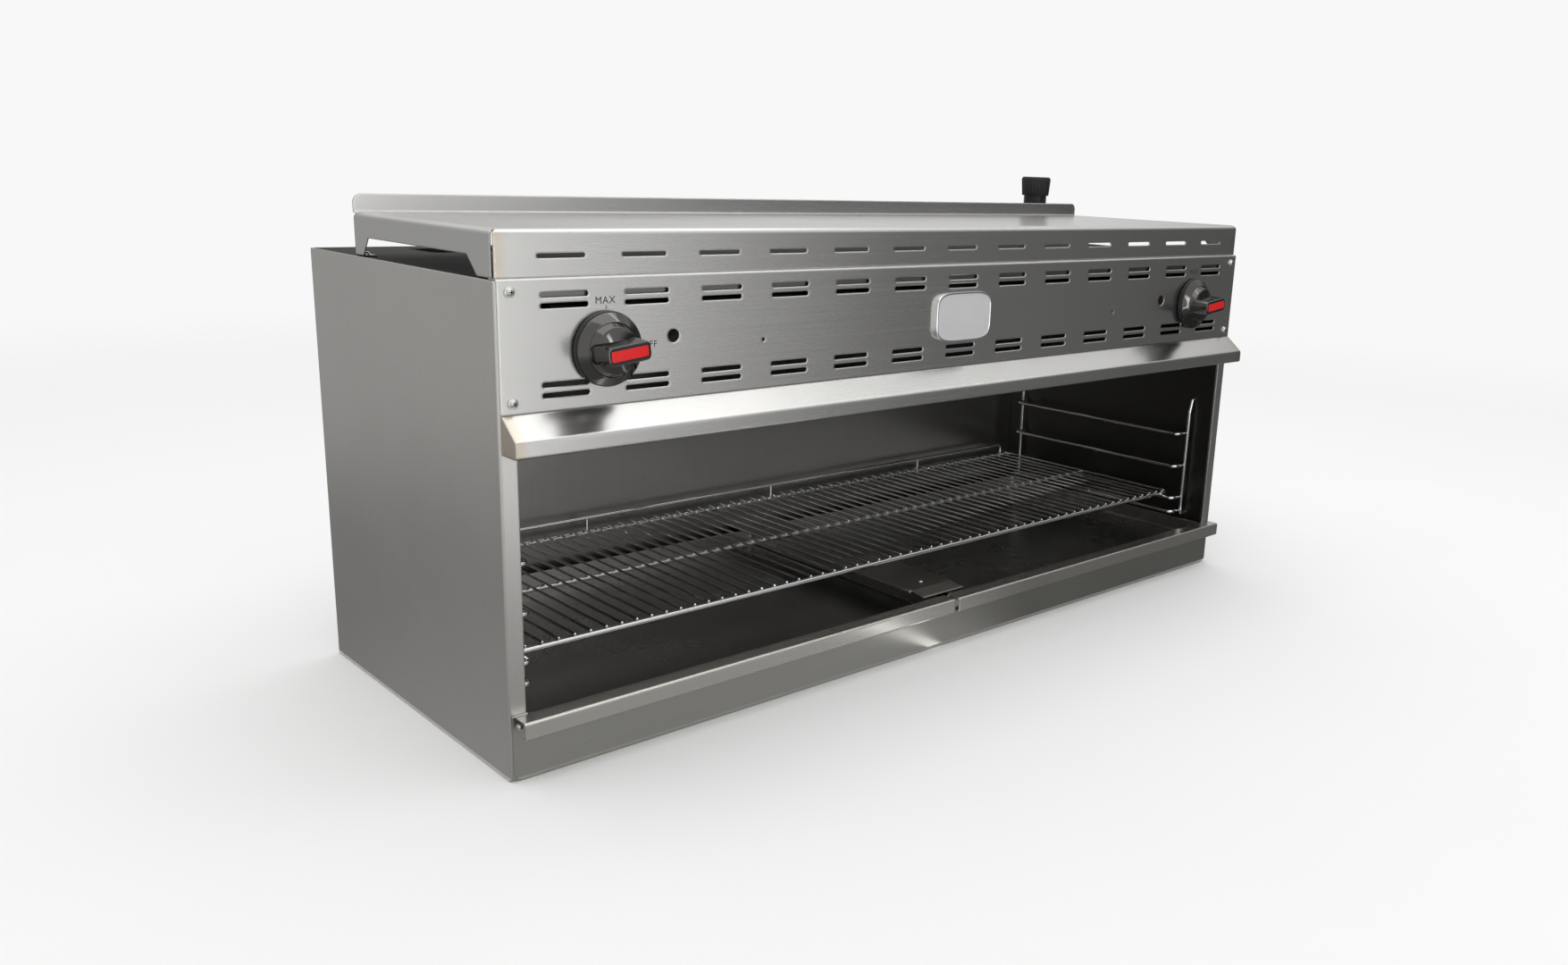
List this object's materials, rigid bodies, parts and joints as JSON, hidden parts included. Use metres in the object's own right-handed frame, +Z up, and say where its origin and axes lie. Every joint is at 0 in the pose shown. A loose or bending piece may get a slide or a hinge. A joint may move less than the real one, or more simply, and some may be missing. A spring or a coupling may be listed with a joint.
{
  "type": "gas cheese melter",
  "caption": "Wide, low countertop gas cheese melter: open-front stainless cabinet with ceiling burners, sliding wire rack, pull-out drip trays and a raised vented cover.",
  "frame": {"origin": "centre of the underside of the cabinet", "axes": "+X to the user's right as they face it, +Y from the open front to the back, +Z up"},
  "size_m": [1.2192, 0.4828, 0.593],
  "materials": {
    "brushed_stainless": "horizontal brushed grain",
    "liner_steel": "satin, a little darkened",
    "zinc_steel": "zinc plated",
    "chrome_wire": "bright plated wire",
    "badge_metal": "satin field, bright rim",
    "burner_steel": "aluminised, dull",
    "burner_ceramic": "porous ceramic",
    "burner_casting": "sand cast",
    "brass": "machined",
    "aluminium_tube": "drawn tube",
    "gas_pipe": "mill steel",
    "black_fitting": "black, semi-gloss",
    "black_plastic": "moulded black",
    "knob_chrome": "smoked bright chrome",
    "knob_red": "glossy red"
  },
  "bodies": {
    "cabinet": {"bottom_panel": "brushed_stainless", "burner_screens": "burner_steel", "burner_tiles": "burner_ceramic", "cavity_ceiling": "liner_steel", "cavity_rear": "liner_steel", "ceiling_brackets": "liner_steel", "control_panel": "brushed_stainless", "control_panel_screws": "zinc_steel", "divider_cap": "brushed_stainless", "divider_channel": "liner_steel", "divider_rivets": "zinc_steel", "emblem_plate": "badge_metal", "front_ledge": "brushed_stainless", "gas_feed_pipe": "gas_pipe", "gas_inlet_pipe": "gas_pipe", "gas_manifold": "gas_pipe", "gas_valves": "brass", "heat_shield": "liner_steel", "inlet_cap": "black_plastic", "inlet_coupling": "black_fitting", "inlet_elbow": "gas_pipe", "left_burner": "burner_steel", "left_cavity_side": "liner_steel", "left_rack_guide": "chrome_wire", "left_side_panel": "brushed_stainless", "leg_nuts": "zinc_steel", "lower_front_panel": "brushed_stainless", "lower_panel_screws": "zinc_steel", "manifold_elbow": "gas_pipe", "mixer_tubes": "burner_casting", "orifice_spuds": "brass", "pilot_burners": "aluminium_tube", "pilot_tubes": "aluminium_tube", "pilot_valves": "brass", "rear_panel": "brushed_stainless", "right_burner": "burner_steel", "right_cavity_side": "liner_steel", "right_rack_guide": "chrome_wire", "right_side_panel": "brushed_stainless", "top_cover": "brushed_stainless", "top_cover_screws": "zinc_steel", "top_panel": "brushed_stainless", "tray_deck": "liner_steel", "tray_runners": "liner_steel"},
    "wire_rack": {"wire_rack": "chrome_wire"},
    "left_tray": {"left_drip_tray": "liner_steel", "left_tray_handle": "brushed_stainless", "left_tray_rivets": "zinc_steel"},
    "right_tray": {"right_drip_tray": "liner_steel", "right_tray_handle": "brushed_stainless", "right_tray_rivets": "zinc_steel"},
    "left_knob": {"left_knob": "knob_chrome", "left_knob_base": "black_plastic", "left_knob_insert": "knob_red", "left_valve_stem": "zinc_steel"},
    "right_knob": {"right_knob": "knob_chrome", "right_knob_base": "black_plastic", "right_knob_insert": "knob_red", "right_valve_stem": "zinc_steel"}
  },
  "joints": [
    {"name": "left_knob_turn", "type": "hinge", "parent": "cabinet", "child": "left_knob", "pos_m": [-0.497, -0.219, 0.42], "axis": [0, -1, 0], "range_deg": [0, 90]},
    {"name": "right_knob_turn", "type": "hinge", "parent": "cabinet", "child": "right_knob", "pos_m": [0.497, -0.219, 0.42], "axis": [0, -1, 0], "range_deg": [0, 90]},
    {"name": "wire_rack_slide", "type": "slide", "parent": "cabinet", "child": "wire_rack", "axis": [0, -1, 0], "range_m": [0, 0.36]},
    {"name": "left_tray_slide", "type": "slide", "parent": "cabinet", "child": "left_tray", "axis": [0, -1, 0], "range_m": [0, 0.36]},
    {"name": "right_tray_slide", "type": "slide", "parent": "cabinet", "child": "right_tray", "axis": [0, -1, 0], "range_m": [0, 0.36]}
  ]
}
